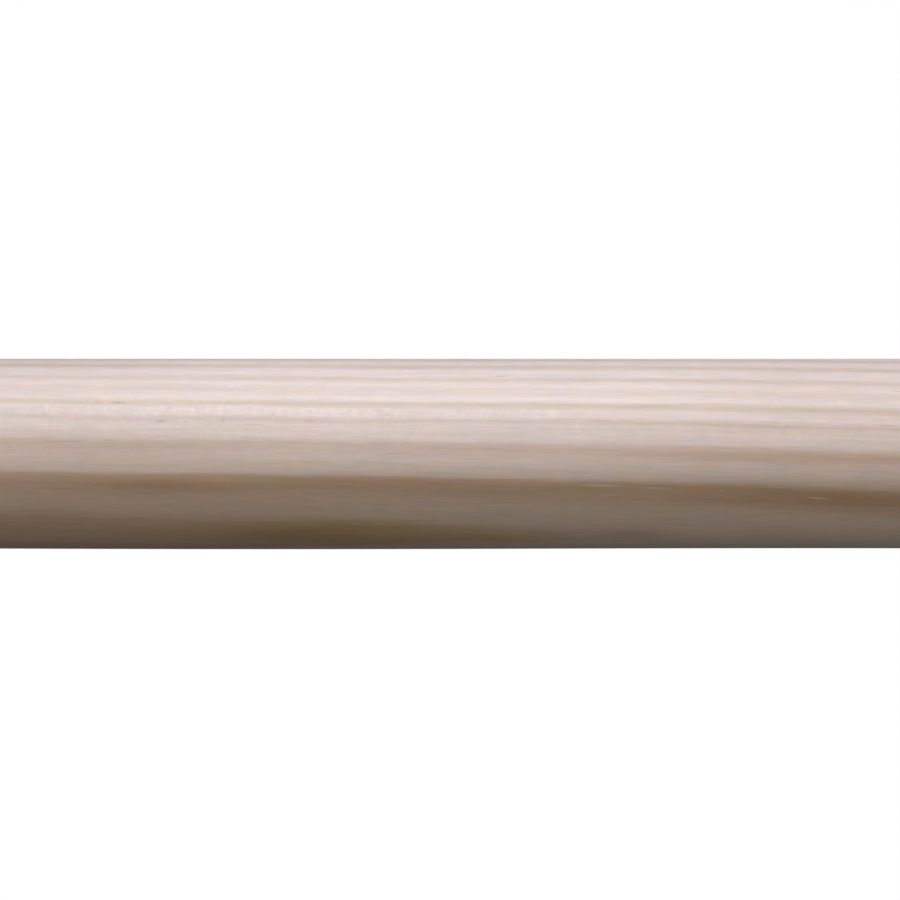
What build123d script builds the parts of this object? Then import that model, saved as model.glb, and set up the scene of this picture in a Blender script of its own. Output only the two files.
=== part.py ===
from build123d import *
import os

# A plain round dowel rod, turned from one piece of straight-grained softwood.
#
# The rod stands on its lower end: +Z runs up its axis, and the origin is the centre of the lower end
# face. Both ends are sawn square, and the sharp edge that the saw leaves is sanded off to a small round.

# Driving dimensions, in millimetres. Each one can be changed by itself.
ROD_DIAMETER = 25.4  # the nominal one inch size, across the round
ROD_LENGTH = 304.8  # twelve inches, from end face to end face
ARRIS_RADIUS = 0.6  # the sanded edge where each end face meets the side

# The rod: a round bar between two square ends, with the edge of each end rounded over.
with BuildPart() as dowel_rod:
    with BuildSketch(Plane.XY):
        Circle(radius=ROD_DIAMETER / 2)
    extrude(amount=ROD_LENGTH)
    end_edges = dowel_rod.edges().filter_by(GeomType.CIRCLE)
    fillet(end_edges, radius=ARRIS_RADIUS)

dowel_rod.part.label = "dowel_rod"

os.makedirs("parts", exist_ok=True)
export_step(dowel_rod.part, "parts/dowel_rod.step")
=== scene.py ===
"""A plain pine dowel rod, standing on its sawn lower end on a pale studio floor.

The rod is one closed surface, worked out with numpy. Its wood is a solid pattern: the growth rings are
long shells round a pith that lies well outside the rod, so the same rings show as straight lines where
the wall cuts across them, as a pointed figure where it lies flat to them, and as arcs on both ends.
"""

import math

import bpy
import numpy as np
from bpy.props import FloatProperty, FloatVectorProperty, IntProperty, PointerProperty
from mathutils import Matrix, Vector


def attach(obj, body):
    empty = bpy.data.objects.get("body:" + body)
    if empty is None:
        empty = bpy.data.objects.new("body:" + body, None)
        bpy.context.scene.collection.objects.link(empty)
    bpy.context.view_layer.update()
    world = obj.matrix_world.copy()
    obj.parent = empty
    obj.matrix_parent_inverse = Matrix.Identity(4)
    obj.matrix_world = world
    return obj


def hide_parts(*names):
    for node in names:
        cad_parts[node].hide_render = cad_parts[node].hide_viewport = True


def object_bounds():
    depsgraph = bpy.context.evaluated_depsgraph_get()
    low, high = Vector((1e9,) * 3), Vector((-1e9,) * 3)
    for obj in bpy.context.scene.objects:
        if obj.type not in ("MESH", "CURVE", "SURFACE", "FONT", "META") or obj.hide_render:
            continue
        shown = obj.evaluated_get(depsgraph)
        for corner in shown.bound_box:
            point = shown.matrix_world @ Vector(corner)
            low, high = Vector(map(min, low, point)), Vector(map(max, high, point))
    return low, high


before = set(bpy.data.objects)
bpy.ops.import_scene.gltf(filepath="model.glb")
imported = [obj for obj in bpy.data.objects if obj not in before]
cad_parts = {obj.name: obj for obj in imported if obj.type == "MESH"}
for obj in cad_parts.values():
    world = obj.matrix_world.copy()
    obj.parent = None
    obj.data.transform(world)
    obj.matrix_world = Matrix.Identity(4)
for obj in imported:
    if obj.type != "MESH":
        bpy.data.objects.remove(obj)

bl_info = {
    "name": "Pine Dowel Rod",
    "version": (1, 0, 0),
    "blender": (4, 5, 0),
    "location": "3D View > Sidebar > Dowel",
    "description": "Builds a turned pine dowel rod and the studio that it stands in",
    "category": "Add Mesh",
}

CAD_LOW, CAD_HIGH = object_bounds()
ROD_NODE = "dowel_rod"
ROD_BODY = "root"
WOOD_SLOT = "pine"
BAKE_MAP = "OFBake"
RING_TOTAL = 13
MM = 0.001
WHITE = (1.0, 1.0, 1.0)

# What the mesh tells the material about the wood, with lengths in millimetres.
GRAIN = "grain"  # out from the pith, round it, and up the rod
RINGS = "growth_rings"  # rings passed on the way out, with a whole number at each ring's end
LATEWOOD = "latewood"  # of the ring here: how dark its latewood is, its width, and its latewood's reach
END_FACE = "end_face"  # 1 on a sawn end, 0 on the wall
RAY_FACE = "ray_face"  # how strongly the wood's rays show, raised in the key-lit band as painted sheen
WALL = "wall"  # round from the front, following the fibres, and up from the lower end
STAIN_AND_SHADE = "stain_and_shade"  # darker and browner from stains and painted shade, or below 0 paler
BLUSH = "blush"  # how much redder the latewood is, or below 0 how much yellower

FIBRE_LEAN = 0.024  # how far the fibres lean round the wall for each millimetre up

# Broad patches on the wall: height, place round the wall, half its length and half its width, all in
# millimetres, then its strength. A place is measured round from the front towards +X, along the fibres.
# Stains and painted shade are darker, and with a minus sign a patch is paler; one pale patch is painted
# sheen.
STAIN_AND_SHADE_PATCHES = (
    (150, -13.5, 55, 2.6, 0.12),
    (171, -13.8, 11, 2.0, 0.34),
    (128, -12.2, 4, 1.3, 0.26),
    (173, -12.0, 4.5, 1.0, 0.11),
    (115, 0.1, 12, 0.5, 0.07),
    (191, -5.0, 9, 1.3, 0.38),
    (205, -7.6, 9, 1.6, 0.12),
    (152, -8.0, 60, 1.6, 0.05),
    (150, -11.5, 12, 1.6, 0.08),
    (114, 4.3, 13, 0.6, 0.10),
    (192, 3.65, 18, 0.5, 0.06),
    (202, 7.1, 12, 0.8, 0.05),
    (101, 9.5, 10, 0.8, 0.06),
    (105, 8.1, 8, 0.7, 0.06),
    (204, 1.2, 9, 0.6, 0.05),
    (206, -9.6, 7, 0.9, 0.16),
    (167, -10.9, 5, 0.8, 0.10),
    (150, 16.6, 90, 1.2, 0.05),
    (150, 9.2, 100, 1.4, 0.03),
    # Painted shade: the lower rim, away from the key lamp, darker and browner all along the view.
    (150, -17.4, 80, 1.8, 0.19),
    (190, 2.3, 24, 0.6, -0.06),
    (121, 0.45, 11, 0.6, 0.04),
    (96, 0.6, 7, 0.7, 0.06),
    (152, 2.85, 62, 0.7, -0.07),
    (118, 5.4, 22, 0.7, -0.03),
    (201, -0.9, 9, 0.7, 0.08),
    (191, -3.8, 8, 0.5, -0.18),
    (162, -3.2, 16, 0.5, 0.07),
    (106, -2.1, 12, 0.6, -0.06),
    (150, -1.4, 10, 1.0, -0.05),
    (178, -8.0, 18, 2.6, 0.09),
    (178, -12.5, 12, 2.5, 0.06),
    (190, -2.2, 22, 1.2, 0.06),
    # Painted sheen: paler over the key-lit band, where the ray flecks catch the light.
    (178, 5.7, 30, 0.8, -0.05),
    (168, -3.6, 14, 0.6, 0.24),
    (113, -3.2, 10, 0.8, 0.28),
    (99, -4.8, 10, 1.8, 0.30),
    (128, -5.4, 6, 0.9, -0.14),
    (204, -0.4, 10, 3.0, 0.08),
    (191, -0.2, 11, 0.7, 0.14),
    (205, 14.5, 14, 3.0, 0.15),
    (104, 11.2, 14, 5.0, 0.09),
    (204, -9.7, 22, 0.9, 0.16),
    (108, 0.6, 14, 0.8, 0.14),
    (152, -2.7, 7, 0.4, 0.12),
    (125, -3.1, 5, 0.4, 0.08),
    (160, 5.1, 5, 0.5, 0.12),
    (129, 7.7, 5, 0.4, -0.12),
    (129, 6.8, 5, 0.4, 0.08),
    (118, 11.4, 5, 0.4, 0.10),
    (202, 4.7, 5, 0.5, 0.10),
    (207, 10.0, 4, 0.4, 0.10),
    (142, 0.4, 20, 1.0, -0.05),
    (207, -4.3, 6, 0.7, 0.10),
    (197, -6.3, 6, 0.6, 0.08),
    (98, -6.4, 6, 1.0, 0.08),
    (167, -10.1, 7, 1.0, 0.07),
    (118, -11.4, 5, 1.0, -0.07),
    (128, -13.9, 5, 0.9, 0.08),
    (112, 10.6, 9, 0.7, 0.06),
    (40, 3.0, 26, 3.0, 0.12),
    (262, 8.0, 20, 4.0, 0.10),
    (60, 26.0, 30, 4.0, 0.14),
    (230, -28.0, 24, 5.0, 0.14),
    (140, 33.0, 18, 3.0, 0.12),
)
# Where the latewood is redder, or with a minus sign yellower.
BLUSHES = (
    (210, -4.6, 6, 1.4, 0.8),
    (200, -5.5, 7, 0.9, 0.6),
    (192, -5.0, 7, 1.1, 0.5),
    (181, -4.5, 4, 0.9, 0.6),
    (160, -3.4, 10, 1.0, 0.8),
    (142, -3.4, 4, 0.5, 0.8),
    (120, -4.2, 4, 0.5, 0.7),
    (101, -4.9, 6, 1.2, 0.5),
    (106, 0.5, 16, 1.0, 1.3),
    (119, 0.3, 12, 0.8, 1.4),
    (150, -17.2, 80, 1.6, 0.8),
    (198, 14.8, 16, 0.8, 0.8),
    (204, -4.4, 5, 0.6, -0.7),
    (174, -4.1, 5, 1.2, -0.6),
    (134, -4.6, 7, 1.4, -0.3),
    (112, -4.3, 6, 1.3, -0.35),
    (137, -11.4, 44, 2.8, -1.3),
    (154, 14.9, 9, 0.35, 2.0),
    (95, 4.7, 4, 0.6, 1.2),
    (115, 4.1, 8, 0.6, -0.8),
    (55, -3.0, 20, 1.5, 0.8),
    (250, -5.0, 16, 1.5, 0.7),
    (80, 20.0, 26, 2.0, 0.8),
    (210, 30.0, 24, 2.0, 0.8),
)
# Where the rays show more strongly than elsewhere: patches over the key-lit band, as painted sheen.
RAY_SHEEN_PATCHES = (
    (178, 5.7, 30, 1.0, 1.6),
    (184, 4.0, 16, 1.2, 0.7),
    (141, 5.8, 5, 0.9, 1.2),
)
# Small marks, laid out in the same way: torn fibres catch the light, the short pale ticks across the
# grain in the key-lit band are painted glints on the rays, and with a minus sign dashes and blots are
# dark.
MARKS = (
    (132.2, -3.75, 4.2, 0.11, 0.75),
    (125.3, -3.90, 3.2, 0.10, 0.45),
    (116.7, -4.12, 0.8, 0.10, 0.45),
    (104.3, -4.87, 2.4, 0.11, 0.80),
    (202.7, -5.90, 2.9, 0.18, -0.25),
    (197.9, -5.60, 2.6, 0.13, 0.14),
    (192.7, -6.24, 2.8, 0.20, -0.28),
    (192.2, -5.85, 2.4, 0.13, 0.16),
    (199.0, -5.10, 2.2, 0.18, -0.14),
    (205.2, 5.13, 0.40, 0.80, 0.45),
    (197.6, 5.08, 0.30, 0.65, 0.40),
    (190.9, 4.66, 0.22, 0.75, 0.35),
    (190.2, 5.45, 0.20, 0.80, 0.30),
    (188.5, 5.05, 0.35, 0.35, 0.60),
    (184.3, 5.41, 0.30, 0.60, 0.40),
    (181.2, 9.30, 0.60, 0.35, 0.40),
    (195.9, 6.08, 1.6, 0.26, -0.5),
    (198.6, 6.10, 0.55, 0.18, -0.35),
    (182.1, 3.86, 0.60, 0.50, -0.20),
    (190.2, 3.54, 1.1, 0.36, -0.30),
    (205.5, 4.07, 0.20, 0.30, -0.30),
    (170.8, 3.97, 1.2, 0.40, -0.18),
    (210.0, -0.41, 0.9, 0.10, -0.40),
    (134.2, 17.4, 1.3, 0.25, -0.30),
    (99.5, 15.2, 0.9, 0.20, -0.30),
)


def length_property(name, description, default, **limits):
    """A length, in metres."""
    return FloatProperty(
        name=name, description=description, subtype="DISTANCE", unit="LENGTH", default=default, **limits
    )


def ring_property(name, description, default):
    """One number for each ring, from the pith's side outwards."""
    return FloatVectorProperty(name=name, description=description, size=RING_TOTAL, default=default)


def colour_property(name, description, default):
    """A colour, in linear light."""
    return FloatVectorProperty(
        name=name, description=description, subtype="COLOR", size=3, min=0.0, max=1.0, default=default
    )


def roughness_property(name, description, default):
    """How dull a surface is, from 0 for a mirror to 1."""
    return FloatProperty(
        name=name, description=description, subtype="FACTOR", min=0.0, max=1.0, default=default
    )


def power_property(name, description, default):
    """A lamp's power, in watts."""
    return FloatProperty(
        name=name, description=description, subtype="POWER", unit="POWER", default=default
    )


class RodShape(bpy.types.PropertyGroup):
    """The rod's own sizes, and how finely its surface is divided."""

    radius: length_property("Radius", "From the axis to the wall", (CAD_HIGH.x - CAD_LOW.x) / 2, min=MM)
    length: length_property("Length", "From end face to end face", CAD_HIGH.z - CAD_LOW.z, min=10 * MM)
    arris: length_property("Arris", "Radius of the sanded edge round each end", 0.6 * MM, min=0.1 * MM)
    wander: length_property(
        "Wander",
        "How far one side of the wall dips in, where the cutter lost its line",
        0.15 * MM,
        min=0.0,
    )
    proud: length_property(
        "Proud latewood",
        "How far the hard latewood stands out from the soft wood round it",
        0.014 * MM,
        min=0.0,
    )
    saw_depth: length_property(
        "Saw marks", "How deep the saw's teeth scored the end faces", 0.03 * MM, min=0.0
    )
    around: IntProperty(name="Divisions around", description="Faces round the wall", default=300, min=24)
    along: IntProperty(name="Divisions along", description="Faces from end to end", default=240, min=8)
    across: IntProperty(
        name="Divisions across", description="Rings of faces on each end", default=34, min=4
    )
    edge: IntProperty(
        name="Divisions of the arris", description="Rings of faces on each arris", default=4, min=2
    )


class GrowthRings(bpy.types.PropertyGroup):
    """Where the tree's rings lie in the rod, counted outwards from the pith's side."""

    pith_distance: length_property("Pith distance", "From the rod's axis to the tree's pith", 57 * MM)
    pith_bearing: FloatProperty(
        name="Pith bearing",
        description="Direction of the pith from the rod's axis, turned from +X towards +Y",
        default=math.radians(210),
        subtype="ANGLE",
        unit="ROTATION",
    )
    slope: FloatProperty(
        name="Grain slope",
        description="How far the fibres drift outwards for each unit that they climb, at mid-height",
        default=0.0153,
    )
    bow: FloatProperty(
        name="Grain bow",
        description="How much the fibres bend pithwards away from mid-height, for each metre squared",
        default=0.0614,
    )
    taper: FloatProperty(
        name="Ring taper",
        description="How much narrower the rings grow with each metre up the trunk",
        default=0.46,
    )
    first: length_property(
        "First ring", "Where the first ring starts, out from the axis at mid-height", -15.4 * MM
    )
    widths: ring_property(
        "Ring widths",
        "Width of each ring, in millimetres, from the pith's side outwards",
        (3.4, 4.4, 4.4, 3.2, 2.4, 2.2, 1.9, 2.5, 2.1, 2.0, 2.2, 1.9, 2.1),
    )
    reaches: ring_property(
        "Latewood reaches",
        "How far each ring's latewood reaches in from the ring's end, in millimetres",
        (3.2, 3.4, 2.6, 1.4, 1.8, 2.2, 1.7, 1.8, 1.8, 1.7, 1.8, 1.6, 1.7),
    )
    upper_depths: ring_property(
        "Upper depths",
        "How dark each ring ends in the rod's upper part, from 0 for a false ring to 1",
        (0.8, 0.85, 0.42, 0.28, 0.6, 0.26, 0.32, 0.5, 0.5, 0.6, 0.5, 0.7, 0.6),
    )
    lower_depths: ring_property(
        "Lower depths",
        "How dark each ring ends in the rod's lower part, from 0 for a false ring to 1",
        (0.9, 1.0, 0.55, 0.55, 0.66, 0.26, 0.55, 0.5, 0.5, 0.6, 0.5, 0.7, 0.6),
    )


class PineFinish(bpy.types.PropertyGroup):
    """The colours and the dull gloss of bare pine."""

    earlywood: colour_property("Earlywood", "Soft pale wood of spring", (0.742, 0.62, 0.56))
    latewood: colour_property("Latewood", "Hard wood that ends each ring", (0.54, 0.39, 0.295))
    olive: colour_property("Olive", "Yellower latewood", (0.515, 0.386, 0.19))
    line: colour_property("Line", "Latewood of the narrow rings", (0.525, 0.40, 0.265))
    russet: colour_property("Russet", "Redder latewood", (0.58, 0.38, 0.28))
    resin: colour_property("Resin", "Dashes where a resin canal is cut open", (0.36, 0.24, 0.16))
    # What stains and painted shade take away at full strength.
    stain_and_shade: colour_property("Stain and shade", "What a full stain takes away", (0.46, 0.62, 0.78))
    # Painted sheen: the pale ray flecks and pale marks are drawn lighter than the earlywood.
    ray: colour_property("Ray", "Bright flecks across the grain", (0.84, 0.765, 0.69))
    end_tint: colour_property("End tint", "What the sawn ends keep of the light", (0.86, 0.78, 0.69))
    roughness: roughness_property("Roughness", "Of the sanded wall", 0.56)
    end_roughness: roughness_property("End roughness", "Of the sawn ends", 0.8)


class Studio(bpy.types.PropertyGroup):
    """The floor, the lamps and the camera."""

    floor_radius: length_property("Floor radius", "Of the round floor", 0.9)
    floor_colour: colour_property("Floor", "Pale floor", (0.82, 0.82, 0.82))
    key_colour: colour_property("Key", "Side lamp", (0.85, 0.89, 1.0))
    fill_colour: colour_property("Fill", "Weak warm lamp by the camera", (0.955, 0.78, 0.53))
    key_power: power_property("Key power", "Of the side lamp", 1.43)
    fill_power: power_property("Fill power", "Of the warm lamp by the camera", 2.4)
    top_power: power_property("Top power", "Of the lamp overhead", 4.0)
    back_power: power_property("Back power", "Of the lamp behind the rod", 30.5)
    lens: FloatProperty(
        name="Lens",
        description="Focal length of the camera",
        default=200.0,
        subtype="DISTANCE_CAMERA",
    )
    view_length: length_property(
        "View length", "How much of the rod's length the camera takes in", 119.9 * MM
    )


# The wood, worked out in numpy for the mesh.

# A ring's latewood is darkest over the core of its reach, and drops off at the ring's end over its edge.
LATE_CORE = 0.45  # of the reach
LATE_EDGE = 0.85  # millimetres
# Heights between which the upper part's depths of latewood pass over to the lower part's.
UPPER_PART, LOWER_PART = 210 * MM, 90 * MM
# The outer rings sway: how far, from crest to crest up the rod, and the height of one crest.
SWAY, SWAY_WAVE, SWAY_CREST = 0.16 * MM, 120 * MM, 166 * MM
SWAY_START, SWAY_FULL = -3 * MM, 1 * MM  # out from the axis, where the sway starts and where it is full
# Slow waves in every ring: how far, then up the rod and round the pith the millimetres for each radian,
# and last the radians at the start.
RING_WAVES = (
    (0.05, 9.0, 4.0, 0.0),
    (0.07, 17.0, -7.0, 1.0),
)
# The relief is the mean of some cuts through the rings, spread to either side by some millimetres.
RELIEF_CUTS, RELIEF_SPREAD = 5, 0.3
RAY_POWER = 6  # the higher, the sooner the rays fade where the wall turns across them
RAY_ON_END = 0.5  # a sawn end shows each ray as a fine line
RAY_BASE = 0.6  # how strongly the rays show away from every patch


def smoothed_step(values, low, high):
    """Climbs from 0 at low to 1 at high as 3 t^2 - 2 t^3."""
    t = np.clip((values - low) / (high - low), 0, 1)
    return t * t * (3 - 2 * t)


def ring_ends(rings):
    """Where each ring starts and the last one ends: the first start, plus the widths added up."""
    return rings.first + np.concatenate([[0], np.cumsum(rings.widths)]) * MM


def from_pith(points, rings):
    """How far each point lies from the pith's line, towards +X and towards +Y."""
    pith_x = rings.pith_distance * math.cos(rings.pith_bearing)
    pith_y = rings.pith_distance * math.sin(rings.pith_bearing)
    return points[..., 0] - pith_x, points[..., 1] - pith_y


def grain_coordinates(points, rings, mid_height):
    """Out from the pith, round it and along it, for each point, in metres.

    Out is the distance from the pith's line less the pith's distance from the axis, stretched above
    mid-height and shrunk below it, so that the rings narrow on the way up. To it are added the drift of
    the fibres, a parabola in the depth below mid-height, the sway of the outer rings, a cosine of the
    height, and the slow waves, sines of the height and the way round together.
    """
    x, y = from_pith(points, rings)
    height = points[..., 2]
    depth = mid_height - height
    out = (np.hypot(x, y) - rings.pith_distance) * (1 - rings.taper * depth)
    out = out + rings.slope * depth + rings.bow * depth**2
    sway = SWAY * np.cos((height - SWAY_CREST) * 2 * math.pi / SWAY_WAVE)
    out = out + sway * smoothed_step(out, SWAY_START, SWAY_FULL)
    turn = np.arctan2(y, x) - (rings.pith_bearing - math.pi)
    turn = (turn + math.pi) % (2 * math.pi) - math.pi
    round_pith = turn * rings.pith_distance
    for size, climb, way, start in RING_WAVES:
        out = out + size * MM * np.sin(height / (climb * MM) + round_pith / (way * MM) + start)
    return np.stack([out, round_pith, height], axis=-1)


def ring_count(out, rings):
    """Rings passed on the way out: a whole number at each ring's end, and straight between."""
    ends = ring_ends(rings)
    return np.interp(out, ends, np.arange(len(ends)))


def latewood_traits(out, height, rings):
    """Of the ring at each point: how dark its latewood is, its width, and how far its latewood reaches.

    From the upper part of the rod to the lower, the depths pass from one list to the other.
    """
    ring = np.clip(np.floor(ring_count(out, rings)).astype(int), 0, RING_TOTAL - 1)
    lower = smoothed_step(height, UPPER_PART, LOWER_PART)
    depth = np.array(rings.upper_depths)[ring] * (1 - lower) + np.array(rings.lower_depths)[ring] * lower
    return np.stack([depth, np.array(rings.widths)[ring], np.array(rings.reaches)[ring]], axis=-1)


def latewood_share(out, height, rings):
    """How much of the wood is latewood: it drops off at the ring's end and fades out on the way in."""
    depth, width, reach = np.moveaxis(latewood_traits(out, height, rings), -1, 0)
    inwards = (1 - ring_count(out, rings) % 1) * width
    core = 1 - smoothed_step(inwards / reach, LATE_CORE, 1)
    return depth * smoothed_step(inwards, 0, LATE_EDGE) * core


def wall_places(points, mid_height):
    """Millimetres round the wall from the front towards +X, less the fibres' lean, and up."""
    radius = np.hypot(points[..., 0], points[..., 1]).max() / MM
    round_wall = radius * np.arctan2(points[..., 0], -points[..., 1])
    up = points[..., 2] / MM
    return np.stack([round_wall - FIBRE_LEAN * (up - mid_height / MM), up, 0 * up], axis=-1)


def patches(places, table):
    """The sum of soft oval patches, each its strength times e to the minus squared distance.

    A patch's distance is 1 at the edge of its oval.
    """
    up, across, half_length, half_width, strength = np.array(table).T[:, :, None, None]
    distance = ((places[..., 1] - up) / half_length) ** 2 + ((places[..., 0] - across) / half_width) ** 2
    return (strength * np.exp(-distance)).sum(axis=0)


def ring_relief(out, height, rings):
    """Height of the hard wood, from 0 to 1, as the mean of some nearby cuts, to suit the mesh."""
    offsets = np.linspace(-RELIEF_SPREAD, RELIEF_SPREAD, RELIEF_CUTS) * MM
    return sum(latewood_share(out + offset, height, rings) for offset in offsets) / len(offsets)


def ray_face(points, angle, on_end, rings):
    """How nearly the wall lies along the rays, which run straight out from the pith.

    It is a high power of the sine of the angle between the wall's normal and the ray through the
    point, and on a sawn end it is the same all over.
    """
    x, y = from_pith(points, rings)
    return np.sin(np.arctan2(y, x) - angle) ** RAY_POWER * (1 - on_end) + RAY_ON_END * on_end


# The rod's surface.

# The wall's dip: from crest to crest up the rod, and the height of one crest, where there is no dip.
WANDER_WAVE, WANDER_CREST = 140 * MM, 175 * MM
END_CROWDING = 1.15  # above 1, an end's rings of faces crowd towards its rim
SAW_SPINDLE = (90 * MM, -40 * MM)  # the middle of the saw's arcs
SAW_RIPPLES = ((1.0, 0.18, 0.0), (0.6, 0.47, 1.3))  # height, millimetres for each radian, and start
SAW_FADE = 4  # the higher, the sooner the scores fade over the arris
BAKE_GAP = 1 * MM


def rod_profile(shape):
    """Half the rod's outline, from the middle of the lower end to the middle of the upper one.

    Four arrays: distance from the axis, height, and the outward normal's two parts. The end faces are
    straight, each arris is a quarter circle, and the wall is straight.
    """
    flat = shape.radius - shape.arris
    steps = np.linspace(0, 1, shape.across + 1)[:-1]
    end_r = flat * (1 - (1 - steps) ** END_CROWDING)
    turn = np.linspace(0, math.pi / 2, shape.edge + 1)[:-1]
    arris_r, arris_z = flat + shape.arris * np.sin(turn), shape.arris * (1 - np.cos(turn))
    wall_z = np.linspace(shape.arris, shape.length / 2, shape.along // 2 + 1)[:-1]
    low_r = np.concatenate([end_r, arris_r, np.full(len(wall_z), shape.radius)])
    low_z = np.concatenate([np.zeros(len(end_r)), arris_z, wall_z])
    low_nr = np.concatenate([np.zeros(len(end_r)), np.sin(turn), np.ones(len(wall_z))])
    low_nz = np.concatenate([-np.ones(len(end_r)), -np.cos(turn), np.zeros(len(wall_z))])
    distance = np.concatenate([low_r, [shape.radius], low_r[::-1]])
    height = np.concatenate([low_z, [shape.length / 2], shape.length - low_z[::-1]])
    normal_r = np.concatenate([low_nr, [1.0], low_nr[::-1]])
    normal_z = np.concatenate([low_nz, [0.0], -low_nz[::-1]])
    return distance, height, normal_r, normal_z


def wall_wander(angle, height, shape):
    """How far the wall dips in: a cosine wave in height, and most on the side away from +X."""
    swing = (1 - np.cos((height - WANDER_CREST) * 2 * math.pi / WANDER_WAVE)) / 2
    side = (1 - np.cos(angle)) / 2
    return shape.wander * swing * side


def saw_marks(points):
    """Scores on an end face: ripples along arcs round a far-off saw spindle, from 0 to 1."""
    travel = np.hypot(points[..., 0] - SAW_SPINDLE[0], points[..., 1] - SAW_SPINDLE[1])
    ripples = sum(size * np.sin(travel / (way * MM) + start) for size, way, start in SAW_RIPPLES)
    return (ripples / sum(size for size, _, _ in SAW_RIPPLES) + 1) / 2


def rod_points(shape, rings):
    """The surface as a grid of points, rows along the profile and columns round the axis.

    Each point is the profile turned round the axis, moved in along its normal by the wander, by what
    the soft wood lacks beside the latewood, and on the ends by the saw's scores. With the points come
    their grain coordinates, how squarely each faces an end, and how nearly each lies along the rays.
    """
    distance, height, normal_r, normal_z = (column[:, None] for column in rod_profile(shape))
    angle = np.linspace(0, 2 * math.pi, shape.around, endpoint=False)[None, :]
    true = np.stack([distance * np.cos(angle), distance * np.sin(angle), height + 0 * angle], axis=-1)
    grain = grain_coordinates(true, rings, shape.length / 2)
    on_end = np.abs(normal_z)
    inwards = shape.proud * (1 - ring_relief(grain[..., 0], grain[..., 2], rings))
    inwards = inwards + wall_wander(angle, height, shape) * (1 - on_end)
    inwards = inwards + shape.saw_depth * saw_marks(true) * on_end**SAW_FADE
    normal = np.stack([normal_r * np.cos(angle), normal_r * np.sin(angle), normal_z + 0 * angle], axis=-1)
    on_end = np.broadcast_to(on_end, inwards.shape)
    return true - normal * inwards[..., None], grain, on_end, ray_face(true, angle, on_end, rings)


def grid_faces(rows, columns):
    """Quads between the rows of a grid that closes on itself, and a fan of triangles at each pole.

    The first and the last row are single points, held as vertices 0 and last. Returns each corner's
    vertex, its row and its column, for the quads and for the triangles; a column may equal columns,
    where the grid has come round.
    """
    row, column = np.meshgrid(np.arange(1, rows - 2), np.arange(columns), indexing="ij")
    quad_rows = np.stack([row, row, row + 1, row + 1], axis=-1).reshape(-1, 4)
    quad_columns = np.stack([column, column + 1, column + 1, column], axis=-1).reshape(-1, 4)
    around = np.arange(columns)
    low_rows = np.stack([0 * around, 0 * around + 1, 0 * around + 1], axis=-1)
    low_columns = np.stack([around, around + 1, around], axis=-1)
    high_rows = np.stack([0 * around + rows - 1, 0 * around + rows - 2, 0 * around + rows - 2], axis=-1)
    high_columns = np.stack([around, around, around + 1], axis=-1)
    triangle_rows = np.concatenate([low_rows, high_rows])
    triangle_columns = np.concatenate([low_columns, high_columns])

    def vertex(rows_of, columns_of):
        inner = 1 + (rows_of - 1) * columns + columns_of % columns
        last = 1 + (rows - 2) * columns
        return np.where(rows_of == 0, 0, np.where(rows_of == rows - 1, last, inner))

    return (
        (vertex(quad_rows, quad_columns), quad_rows, quad_columns),
        (vertex(triangle_rows, triangle_columns), triangle_rows, triangle_columns),
    )


def without_copies(grid):
    """The grid's values with its first and last row cut down to one point each."""
    return np.concatenate([grid[0, :1], grid[1:-1].reshape(-1, *grid.shape[2:]), grid[-1, :1]])


def bake_places(rows_of, columns_of, shape):
    """A flat place in the unit square for each face corner.

    The wall and its arrises are unrolled into two sheets, one for each half of the rod, side by side
    above two round ends. Everything has one scale, and a face belongs wholly to a sheet or to an end.
    """
    distance, height, _, _ = rod_profile(shape)
    run = np.concatenate([[0], np.cumsum(np.hypot(np.diff(distance), np.diff(height)))])
    rim, middle = shape.across, len(distance) // 2
    girth = 2 * math.pi * shape.radius
    end_width = 2 * shape.radius
    span = max(2 * girth + 3 * BAKE_GAP, run[middle] - run[rim] + end_width + 3 * BAKE_GAP)
    top_row, low_row = rows_of.max(axis=1, keepdims=True), rows_of.min(axis=1, keepdims=True)
    upper = (low_row >= middle) * np.ones_like(rows_of)
    on_end = ((top_row <= rim) | (low_row >= len(distance) - 1 - rim)) * np.ones_like(rows_of)
    share = columns_of / shape.around
    sheet_x = BAKE_GAP + upper * (girth + BAKE_GAP) + share * girth
    sheet_y = 2 * BAKE_GAP + end_width + run[rows_of] - np.where(upper, run[middle], run[rim])
    centre_x = BAKE_GAP + shape.radius + upper * (end_width + BAKE_GAP)
    end_x = centre_x + distance[rows_of] * np.cos(2 * math.pi * share)
    end_side = distance[rows_of] * np.sin(2 * math.pi * share)
    end_y = BAKE_GAP + shape.radius + end_side * np.where(upper, 1, -1)
    places = np.stack([np.where(on_end, end_x, sheet_x), np.where(on_end, end_y, sheet_y)], axis=-1)
    return places.reshape(-1, 2) / span


def add_attribute(mesh, name, values):
    """Stores one number or one vector for each vertex of the mesh."""
    kind, field = ("FLOAT", "value") if values.ndim == 1 else ("FLOAT_VECTOR", "vector")
    attribute = mesh.attributes.new(name, kind, "POINT")
    attribute.data.foreach_set(field, np.ascontiguousarray(values, np.float32).ravel())


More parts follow.
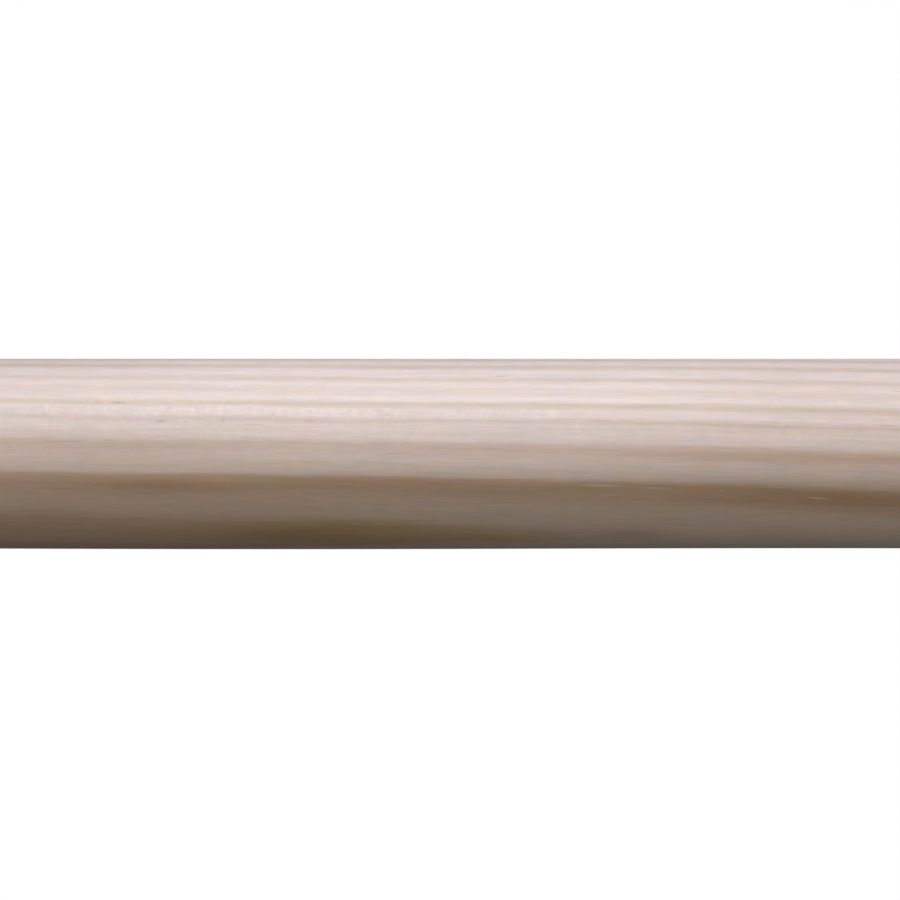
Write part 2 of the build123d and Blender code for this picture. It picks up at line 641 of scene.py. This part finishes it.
def rod_mesh(shape, rings):
    """The rod as one closed mesh, with what the material needs to know stored on its vertices."""
    points, grain, on_end, along_rays = rod_points(shape, rings)
    quads, triangles = grid_faces(len(points), shape.around)
    mesh = bpy.data.meshes.new(ROD_NODE)
    mesh.from_pydata(
        without_copies(points).tolist(), [], quads[0].tolist() + triangles[0].tolist(), shade_flat=False
    )
    flat = [bake_places(rows_of, columns_of, shape) for _, rows_of, columns_of in (quads, triangles)]
    bake_map = mesh.uv_layers.new(name=BAKE_MAP)
    bake_map.data.foreach_set("uv", np.concatenate(flat).astype(np.float32).ravel())
    out, height = grain[..., 0], grain[..., 2]
    places = wall_places(points, shape.length / 2)
    traits = {
        GRAIN: grain / MM,
        RINGS: ring_count(out, rings),
        LATEWOOD: latewood_traits(out, height, rings),
        END_FACE: on_end,
        # The rays show more strongly over the key-lit band, as painted sheen.
        RAY_FACE: along_rays * (RAY_BASE + patches(places, RAY_SHEEN_PATCHES)),
        WALL: places,
        # Stains, with painted shade along the lower rim and painted sheen over the key-lit band.
        STAIN_AND_SHADE: patches(places, STAIN_AND_SHADE_PATCHES),
        BLUSH: patches(places, BLUSHES),
    }
    for name, values in traits.items():
        add_attribute(mesh, name, without_copies(values))
    mesh.validate()
    return mesh


# The wood, as a material.

# Noise: the sizes of its grains out from the pith, round it and up the rod, in millimetres, then its
# detail and its seed.
RAGGED = (0.3, 0.3, 14.0, 2.0, 0.0)  # in the rings' edges
DRIFTING = (2.0, 2.0, 45.0, 1.0, 3.7)  # in whole rings
UNEVEN = (1.0, 3.0, 30.0, 2.0, 9.1)  # in the latewood's depth
TONES = (3.0, 5.0, 40.0, 2.0, 5.3)  # in how red the latewood is
FIBRES = (0.18, 0.18, 7.0, 2.0, 1.9)
BANDS = (0.45, 0.7, 16.0, 2.0, 7.7)
MOTTLE = (0.4, 0.5, 2.6, 3.0, 12.5)
RED_FLECKS = (1.0, 1.2, 4.0, 1.0, 15.1)
BLUE_FLECKS = (1.0, 1.2, 4.0, 1.0, 18.4)
CANALS = (0.2, 0.2, 5.0, 0.0, 4.4)
PALE_TICKS = (3.4, 0.25, 0.75, 1.0, 2.2)
CLUSTERS = (2.0, 2.0, 12.0, 1.0, 6.1)
DARK_TICKS = (1.6, 0.25, 0.7, 1.0, 8.8)
# How far a noise moves what it changes, from its lowest to its highest.
RAGGED_SWING = 0.16  # rings
DRIFTING_SWING = 0.12  # rings
UNEVEN_SWING = 0.7  # of the latewood's depth
FIBRE_SWING = 0.12  # of the light, as in the next four
BAND_SWING = 0.22
MOTTLE_SWING = 0.20
RED_SWING = 0.16
BLUE_SWING = 0.26
STAIN_AND_SHADE_SWING = 1.2  # of the strength of stains and painted shade
ROUGHNESS_SWING = 0.12
# Where each of these starts, and where it is full.
END_RANGE = (0.55, 0.95)  # a sawn end, as the surface turns to face along the axis
TONE_RANGE = (0.45, 0.75)
WIDE_RANGE = (2.4, 3.4)  # a ring wide enough for latewood's own colour, in millimetres
CANAL_RANGE = (0.78, 0.86)
CANAL_PLACE = (0.3, 0.6)  # of the way out through a ring
CLUSTER_RANGE = (0.52, 0.70)
LATE_RANGE = (0.05, 0.3)  # latewood dense enough to hide the rays
PALE_TICK_RANGE = (0.46, 0.74)
DARK_TICK_RANGE = (0.64, 0.76)
MARK_RANGE = (0.2, 1.0)  # of the way from a mark's middle to its edge
# How much of each is mixed in where it is full.
TONE_SHARE = 0.15
CANAL_SHARE = 0.35
PALE_RAY_SHEEN_SHARE = 0.26
DARK_RAY_SHARE = 0.10
RAY_CROWDING = 0.14  # how much more the rays cluster where the wall lies along them
# How far each stands out, in millimetres.
FIBRE_HEIGHT = 0.006
LATE_HEIGHT = 0.012
RAY_HEIGHT = 0.004


class Wiring:
    """Adds nodes to a material's or a world's tree, in the order in which the surface is built up."""

    COLUMNS = 10
    STEP_X, STEP_Y = 190, -230
    MIX_SHARE, MIX_FIRST, MIX_SECOND, MIX_RESULT = 0, 6, 7, 2  # a Mix node's sockets for colours

    def __init__(self, tree):
        tree.nodes.clear()
        self.tree = tree

    def node(self, kind, inputs=(), **settings):
        """A node with its settings, and with a value or another node's output at each input named."""
        count = len(self.tree.nodes)
        node = self.tree.nodes.new(kind)
        node.location = (count % self.COLUMNS * self.STEP_X, count // self.COLUMNS * self.STEP_Y)
        for name, value in settings.items():
            setattr(node, name, value)
        for key, value in dict(inputs).items():
            self.feed(node.inputs[key], value)
        return node

    def feed(self, socket, value):
        """Links another node's output to an input, or sets the input's own value."""
        if isinstance(value, bpy.types.NodeSocket):
            self.tree.links.new(value, socket)
        else:
            socket.default_value = value

    def maths(self, operation, *values):
        """One sum on numbers, from the Math node."""
        return self.node("ShaderNodeMath", dict(enumerate(values)), operation=operation).outputs[0]

    def vector_maths(self, operation, inputs, output="Vector"):
        """One sum on vectors, from the Vector Math node."""
        return self.node("ShaderNodeVectorMath", inputs, operation=operation).outputs[output]

    def parts(self, vector):
        """A vector's three numbers."""
        return self.node("ShaderNodeSeparateXYZ", {0: vector}).outputs[:]

    def step(self, value, low, high):
        """Climbs smoothly from 0 at low to 1 at high."""
        inputs = {"Value": value, "From Min": low, "From Max": high}
        return self.node("ShaderNodeMapRange", inputs, interpolation_type="SMOOTHSTEP").outputs[0]

    def mix(self, share, first, second, blend="MIX"):
        """Two colours, blended."""
        node = self.node("ShaderNodeMix", data_type="RGBA", blend_type=blend)
        self.feed(node.inputs[self.MIX_SHARE], share)
        for place, colour in ((self.MIX_FIRST, first), (self.MIX_SECOND, second)):
            plain = not isinstance(colour, bpy.types.NodeSocket)
            self.feed(node.inputs[place], (*colour, 1.0) if plain else colour)
        return node.outputs[self.MIX_RESULT]

    def stored(self, name, output="Fac"):
        """What the mesh stores under this name."""
        return self.node("ShaderNodeAttribute", attribute_name=name).outputs[output]

    def flecks(self, grain, out, around, along, detail, seed):
        """Noise from 0 to 1 whose grains have these sizes in the wood, in millimetres."""
        scaled = self.vector_maths("MULTIPLY", {0: grain, 1: (1 / out, 1 / around, 1 / along)})
        moved = self.vector_maths("ADD", {0: scaled, 1: (seed, seed, seed)})
        inputs = {"Vector": moved, "Scale": 1.0, "Detail": detail}
        return self.node("ShaderNodeTexNoise", inputs).outputs[0]

    def around_zero(self, noise, swing):
        """Noise brought from 0..1 to either side of zero, times its swing."""
        return self.maths("MULTIPLY", self.maths("SUBTRACT", noise, 0.5), swing)


def latewood_mask(wiring, grain, traits):
    """The place in the ring, from 0 to 1, and how much of the wood there is latewood.

    The fibres make the rings' edges ragged, and the depth comes and goes along the grain.
    """
    depth, width, reach = traits
    ragged = wiring.around_zero(wiring.flecks(grain, *RAGGED), RAGGED_SWING)
    drifting = wiring.around_zero(wiring.flecks(grain, *DRIFTING), DRIFTING_SWING)
    count = wiring.maths("ADD", wiring.stored(RINGS), wiring.maths("ADD", ragged, drifting))
    phase = wiring.maths("FRACT", count)
    inwards = wiring.maths("MULTIPLY", wiring.maths("SUBTRACT", 1.0, phase), width)
    edge = wiring.step(inwards, 0.0, LATE_EDGE)
    fade = wiring.step(wiring.maths("DIVIDE", inwards, reach), LATE_CORE, 1.0)
    share = wiring.maths("MULTIPLY", edge, wiring.maths("SUBTRACT", 1.0, fade))
    uneven = wiring.around_zero(wiring.flecks(grain, *UNEVEN), UNEVEN_SWING)
    depth = wiring.maths("MULTIPLY", depth, wiring.maths("ADD", 1.0, uneven))
    return phase, wiring.maths("MULTIPLY", share, depth)


def latewood_colour(wiring, grain, width, finish):
    """Latewood's own colour in a wide ring, plainer in a narrow one, and redder or yellower in places."""
    tone = wiring.step(wiring.flecks(grain, *TONES), *TONE_RANGE)
    blush = wiring.maths("ADD", wiring.maths("MULTIPLY", tone, TONE_SHARE), wiring.stored(BLUSH))
    colour = wiring.mix(wiring.step(width, *WIDE_RANGE), finish.line, finish.latewood)
    colour = wiring.mix(blush, colour, finish.russet)
    return wiring.mix(wiring.maths("MULTIPLY", blush, -1.0), colour, finish.olive)


def with_fibres(wiring, wood, grain, fibres, bands):
    """Wood shaded by its fibres, their bands and its mottle, with flecks of red and blue."""
    mottle = wiring.around_zero(wiring.flecks(grain, *MOTTLE), MOTTLE_SWING)
    shade = wiring.around_zero(fibres, FIBRE_SWING)
    shade = wiring.maths("ADD", shade, wiring.around_zero(bands, BAND_SWING))
    shade = wiring.maths("ADD", wiring.maths("ADD", shade, mottle), 1.0)
    red = wiring.around_zero(wiring.flecks(grain, *RED_FLECKS), RED_SWING)
    blue = wiring.around_zero(wiring.flecks(grain, *BLUE_FLECKS), BLUE_SWING)
    channels = {0: wiring.maths("ADD", shade, red), 1: shade, 2: wiring.maths("ADD", shade, blue)}
    kept = wiring.node("ShaderNodeCombineColor", channels).outputs[0]
    return wiring.mix(1.0, wood, kept, "MULTIPLY")


def with_stains_and_shade(wiring, wood, bands, finish):
    """Wood less what its stains and painted shade take away, broken up by the bands of fibres."""
    broken = wiring.maths("ADD", 1.0, wiring.around_zero(bands, STAIN_AND_SHADE_SWING))
    stain_and_shade = wiring.maths("MULTIPLY", wiring.stored(STAIN_AND_SHADE), broken)
    taken = wiring.vector_maths("SCALE", {0: finish.stain_and_shade, "Scale": stain_and_shade})
    kept = wiring.vector_maths("SUBTRACT", {0: WHITE, 1: taken})
    return wiring.mix(1.0, wood, kept, "MULTIPLY")


def with_canals(wiring, wood, grain, phase, finish):
    """Wood with the dark dashes of resin canals in the outer part of each ring."""
    canals = wiring.step(wiring.flecks(grain, *CANALS), *CANAL_RANGE)
    canals = wiring.maths("MULTIPLY", canals, wiring.step(phase, *CANAL_PLACE))
    return wiring.mix(wiring.maths("MULTIPLY", canals, CANAL_SHARE), wood, finish.resin)


def with_rays_and_sheen(wiring, wood, grain, late, finish):
    """Wood with clusters of ray flecks outside the latewood, the pale ones painted sheen; and the pale
    alone.
    """
    on_rays = wiring.stored(RAY_FACE)
    crowding = wiring.maths("MULTIPLY", on_rays, RAY_CROWDING)
    clusters = wiring.maths("ADD", wiring.flecks(grain, *CLUSTERS), crowding)
    early = wiring.maths("SUBTRACT", 1.0, wiring.step(late, *LATE_RANGE))
    clusters = wiring.maths("MULTIPLY", wiring.step(clusters, *CLUSTER_RANGE), early)
    clusters = wiring.maths("MULTIPLY", clusters, on_rays)
    pale = wiring.step(wiring.flecks(grain, *PALE_TICKS), *PALE_TICK_RANGE)
    pale = wiring.maths("MULTIPLY", pale, clusters)
    # Painted sheen: pale flecks where the rays catch the light.
    wood = wiring.mix(wiring.maths("MULTIPLY", pale, PALE_RAY_SHEEN_SHARE), wood, finish.ray)
    dark = wiring.step(wiring.flecks(grain, *DARK_TICKS), *DARK_TICK_RANGE)
    dark = wiring.maths("MULTIPLY", dark, clusters)
    return wiring.mix(wiring.maths("MULTIPLY", dark, DARK_RAY_SHARE), wood, finish.resin), pale


def with_marks(wiring, wood, finish):
    """Wood with its small marks, each full in the middle of its oval and gone at the edge."""
    for up, across, half_length, half_width, strength in MARKS:
        away = wiring.vector_maths("SUBTRACT", {0: wiring.stored(WALL, "Vector"), 1: (across, up, 0)})
        scaled = wiring.vector_maths("DIVIDE", {0: away, 1: (half_width, half_length, 1)})
        distance = wiring.vector_maths("LENGTH", {0: scaled}, "Value")
        mask = wiring.maths("SUBTRACT", 1.0, wiring.step(distance, *MARK_RANGE))
        # Pale marks take the pale ray colour, the ticks among them painted glints; dark ones take
        # resin's.
        colour = finish.ray if strength > 0 else finish.resin
        wood = wiring.mix(wiring.maths("MULTIPLY", mask, abs(strength)), wood, colour)
    return wood


def pine_material(finish):
    """Bare pine: rings, fibres, resin dashes and rays on the wall, and darker, rougher sawn ends."""
    material = bpy.data.materials.new(WOOD_SLOT)
    material.use_nodes = True
    wiring = Wiring(material.node_tree)
    grain = wiring.stored(GRAIN, "Vector")
    traits = wiring.parts(wiring.stored(LATEWOOD, "Vector"))
    phase, late = latewood_mask(wiring, grain, traits)
    wood = wiring.mix(late, finish.earlywood, latewood_colour(wiring, grain, traits[1], finish))
    fibres = wiring.flecks(grain, *FIBRES)
    bands = wiring.flecks(grain, *BANDS)
    wood = with_fibres(wiring, wood, grain, fibres, bands)
    wood = with_stains_and_shade(wiring, wood, bands, finish)
    wood = with_canals(wiring, wood, grain, phase, finish)
    wood, pale_ray_sheen = with_rays_and_sheen(wiring, wood, grain, late, finish)
    wood = with_marks(wiring, wood, finish)

    on_end = wiring.step(wiring.stored(END_FACE), *END_RANGE)
    sawn = wiring.mix(1.0, wood, finish.end_tint, "MULTIPLY")
    wood = wiring.mix(on_end, wood, sawn)

    wall_rough = wiring.maths("ADD", finish.roughness, wiring.around_zero(bands, ROUGHNESS_SWING))
    end_rough = wiring.maths("MULTIPLY", on_end, finish.end_roughness - finish.roughness)
    roughness = wiring.maths("ADD", wall_rough, end_rough)

    height = wiring.maths("MULTIPLY", fibres, FIBRE_HEIGHT)
    height = wiring.maths("ADD", height, wiring.maths("MULTIPLY", late, LATE_HEIGHT))
    height = wiring.maths("ADD", height, wiring.maths("MULTIPLY", pale_ray_sheen, RAY_HEIGHT))
    bump = wiring.node("ShaderNodeBump", {"Height": height, "Strength": 1.0, "Distance": MM})

    inputs = {"Base Color": wood, "Roughness": roughness, "Normal": bump.outputs[0]}
    surface = wiring.node("ShaderNodeBsdfPrincipled", inputs)
    wiring.node("ShaderNodeOutputMaterial", {"Surface": surface.outputs[0]})
    return material


class OBJECT_OT_dowel_rod(bpy.types.Operator):
    """Build the pine dowel rod, which stands for the plain rod of the frame"""

    bl_idname = "object.dowel_rod"
    bl_label = "Build Dowel Rod"
    bl_options = {"REGISTER", "UNDO"}

    def execute(self, context):
        scene = context.scene
        rod = bpy.data.objects.new("pine_rod", rod_mesh(scene.rod_shape, scene.growth_rings))
        scene.collection.objects.link(rod)
        rod.data.materials.append(pine_material(scene.pine_finish))
        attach(rod, ROD_BODY)
        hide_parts(ROD_NODE)
        return {"FINISHED"}


# The stage: floor, surroundings, lamps and camera.

# What the light's own rays meet in place of the pale floor and the white surround.
FLOOR_TO_LIGHT = (0.10, 0.10, 0.10)
SURROUND_TO_LIGHT = (0.035, 0.05, 0.065)
FOOT_WHITENESS = 0.4  # how much of the floor's own shade is lost to white at the rod's foot
WHITE_FROM = 0.5  # of the floor's radius, beyond which it is plain white
FLOOR_SIDES = 96
# Lamps: bearing from the front towards +X, distance from the axis, height, own width and own height.
KEY_PLACE = (math.radians(65), 0.38, 0.16, 0.08, 0.18)
FILL_PLACE = (0.0, 0.9, 0.2, 0.4, 0.5)
BACK_PLACE = (math.radians(180), 1.6, 0.7, 0.6, 1.0)
TOP_PLACE = (0.0, 0.001, 1.4, 0.5, 0.5)
# Dark cards: bearing from the front towards +X, distance from the axis, width and height.
LOWER_CARD = (math.radians(230), 0.25, 0.5, 0.8)
UPPER_CARD = (math.radians(130), 0.25, 0.5, 0.8)
CAMERA_RISE = 0.535 * MM  # how far up in the view the camera stands from the axis, which is towards +X
QUARTER_TURN = math.radians(90)
CLIP_RATIO = 100  # how much nearer and further than the rod the camera still sees


def seen_directly(wiring):
    """1 for a camera ray, or one that came by a mirror or through glass, and 0 for the light's own."""
    path = wiring.node("ShaderNodeLightPath").outputs
    glossy = wiring.maths("MAXIMUM", path["Is Glossy Ray"], path["Is Transmission Ray"])
    return wiring.maths("MAXIMUM", path["Is Camera Ray"], glossy)


def floor_material(studio):
    """A pale floor that keeps the shadow near the rod and fades to plain white further out.

    To the light's own rays it is much darker, so that it throws little light back up.
    """
    material = bpy.data.materials.new("floor")
    material.use_nodes = True
    wiring = Wiring(material.node_tree)
    seen = seen_directly(wiring)
    colour = wiring.mix(seen, FLOOR_TO_LIGHT, studio.floor_colour)
    pale = wiring.node("ShaderNodeBsdfDiffuse", {"Color": colour}).outputs[0]
    white = wiring.node("ShaderNodeEmission", {"Strength": 1.0}).outputs[0]
    place = wiring.node("ShaderNodeTexCoord").outputs["Object"]
    far = wiring.vector_maths("LENGTH", {0: place}, "Value")
    fading = wiring.step(far, 0.0, WHITE_FROM * studio.floor_radius)
    whiteness = wiring.maths("MULTIPLY_ADD", fading, 1.0 - FOOT_WHITENESS, FOOT_WHITENESS)
    fade = wiring.maths("MULTIPLY", whiteness, seen)
    surface = wiring.node("ShaderNodeMixShader", {0: fade, 1: pale, 2: white}).outputs[0]
    wiring.node("ShaderNodeOutputMaterial", {"Surface": surface})
    return material


def floor_mesh(radius):
    """A flat disc: points evenly round a circle about the origin, joined in one face."""
    angle = np.linspace(0, 2 * math.pi, FLOOR_SIDES, endpoint=False)
    points = np.stack([radius * np.cos(angle), radius * np.sin(angle), 0 * angle], axis=-1)
    mesh = bpy.data.meshes.new("floor")
    mesh.from_pydata(points.tolist(), [], [list(range(FLOOR_SIDES))])
    return mesh


def surround_world():
    """White to the eye, and nearly dark to the light's own rays, so that the lamps do the lighting."""
    world = bpy.data.worlds.new("surround")
    world.use_nodes = True
    wiring = Wiring(world.node_tree)
    colour = wiring.mix(seen_directly(wiring), SURROUND_TO_LIGHT, WHITE)
    background = wiring.node("ShaderNodeBackground", {"Color": colour, "Strength": 1.0})
    wiring.node("ShaderNodeOutputWorld", {"Surface": background.outputs[0]})
    return world


def point_at(thing, target):
    """Turns an object so that its -Z looks at the target, with +Y as near up as it can be."""
    thing.rotation_euler = (target - thing.location).to_track_quat("-Z", "Y").to_euler()


def add_lamp(scene, name, place, power, colour, target):
    """A soft rectangular lamp at a bearing from the front, turned towards +X, that faces the target."""
    bearing, distance, height, wide, tall = place
    data = bpy.data.lights.new(name, "AREA")
    data.shape = "RECTANGLE"
    data.size, data.size_y = wide, tall
    data.energy = power
    data.color = colour
    lamp = bpy.data.objects.new(name, data)
    lamp.location = (distance * math.sin(bearing), -distance * math.cos(bearing), height)
    lamp.visible_camera = False
    point_at(lamp, target)
    scene.collection.objects.link(lamp)
    return lamp


def dark_card_material():
    """Black card, which throws no light back."""
    material = bpy.data.materials.new("dark_card")
    material.use_nodes = True
    wiring = Wiring(material.node_tree)
    black = wiring.node("ShaderNodeBsdfDiffuse", {"Color": (0.0, 0.0, 0.0, 1.0)})
    wiring.node("ShaderNodeOutputMaterial", {"Surface": black.outputs[0]})
    return material


def add_dark_card(scene, name, place, material):
    """A dark card that stands on the floor, faces the rod and shows in its gloss alone.

    It is a rectangle square to its bearing. Only the rod's reflections meet it: it keeps the white
    surround out of the rod's edge, as a flag does in a studio, and it neither shows to the camera nor
    stops a lamp.
    """
    bearing, distance, width, height = place
    across = np.array([math.cos(bearing), math.sin(bearing), 0]) * width / 2
    foot = np.array([math.sin(bearing), -math.cos(bearing), 0]) * distance
    top = np.array([0, 0, height])
    mesh = bpy.data.meshes.new(name)
    corners = [foot - across, foot + across, foot + across + top, foot - across + top]
    mesh.from_pydata([corner.tolist() for corner in corners], [], [(0, 1, 2, 3)])
    card = bpy.data.objects.new(name, mesh)
    card.data.materials.append(material)
    scene.collection.objects.link(card)
    card.visible_camera = card.visible_diffuse = card.visible_shadow = card.visible_transmission = False


def add_camera(scene, studio, middle):
    """A long lens at mid-height in front, rolled a quarter turn, so that the rod lies across the view."""
    data = bpy.data.cameras.new("camera")
    data.lens = studio.lens
    camera = bpy.data.objects.new("camera", data)
    distance = studio.lens / data.sensor_width * studio.view_length
    camera.location = (CAMERA_RISE, -distance, middle.z)
    camera.rotation_euler = (QUARTER_TURN, QUARTER_TURN, 0)
    data.clip_start, data.clip_end = distance / CLIP_RATIO, distance * CLIP_RATIO
    scene.collection.objects.link(camera)
    scene.camera = camera


class SCENE_OT_dowel_studio(bpy.types.Operator):
    """Set up the floor, the lamps and the camera round the dowel rod"""

    bl_idname = "scene.dowel_studio"
    bl_label = "Set Up Studio"
    bl_options = {"REGISTER", "UNDO"}

    def execute(self, context):
        scene, studio = context.scene, context.scene.dowel_studio
        middle = (CAD_LOW + CAD_HIGH) / 2
        floor = bpy.data.objects.new("floor", floor_mesh(studio.floor_radius))
        floor.data.materials.append(floor_material(studio))
        scene.collection.objects.link(floor)
        scene.world = surround_world()
        add_lamp(scene, "key", KEY_PLACE, studio.key_power, studio.key_colour, middle)
        add_lamp(scene, "fill", FILL_PLACE, studio.fill_power, studio.fill_colour, middle)
        back = add_lamp(scene, "back", BACK_PLACE, studio.back_power, WHITE, middle)
        back.visible_glossy = False
        add_lamp(scene, "top", TOP_PLACE, studio.top_power, WHITE, middle)
        dark_card = dark_card_material()
        add_dark_card(scene, "lower_card", LOWER_CARD, dark_card)
        add_dark_card(scene, "upper_card", UPPER_CARD, dark_card)
        add_camera(scene, studio, middle)
        scene.view_settings.view_transform = "Standard"
        return {"FINISHED"}


class VIEW3D_PT_dowel(bpy.types.Panel):
    """The rod's and the studio's settings, with a button for each"""

    bl_idname = "VIEW3D_PT_dowel"
    bl_label = "Dowel Rod"
    bl_space_type = "VIEW_3D"
    bl_region_type = "UI"
    bl_category = "Dowel"

    def draw(self, context):
        for operator, groups in BUTTONS:
            box = self.layout.box()
            for group in groups:
                settings = getattr(context.scene, group)
                for name in type(settings).__annotations__:
                    box.prop(settings, name)
            box.operator(operator)


GROUPS = {
    "rod_shape": RodShape,
    "growth_rings": GrowthRings,
    "pine_finish": PineFinish,
    "dowel_studio": Studio,
}
BUTTONS = (
    (OBJECT_OT_dowel_rod.bl_idname, ("rod_shape", "growth_rings", "pine_finish")),
    (SCENE_OT_dowel_studio.bl_idname, ("dowel_studio",)),
)
CLASSES = (*GROUPS.values(), OBJECT_OT_dowel_rod, SCENE_OT_dowel_studio, VIEW3D_PT_dowel)


def register():
    """Adds the settings, the operators and the panel."""
    for cls in CLASSES:
        bpy.utils.register_class(cls)
    for name, group in GROUPS.items():
        setattr(bpy.types.Scene, name, PointerProperty(type=group))


def unregister():
    """Takes them away again, last first."""
    for name in GROUPS:
        delattr(bpy.types.Scene, name)
    for cls in reversed(CLASSES):
        bpy.utils.unregister_class(cls)


def main():
    """Builds the rod and its stage."""
    register()
    bpy.ops.object.dowel_rod()
    bpy.ops.scene.dowel_studio()


if __name__ == "__main__":
    main()
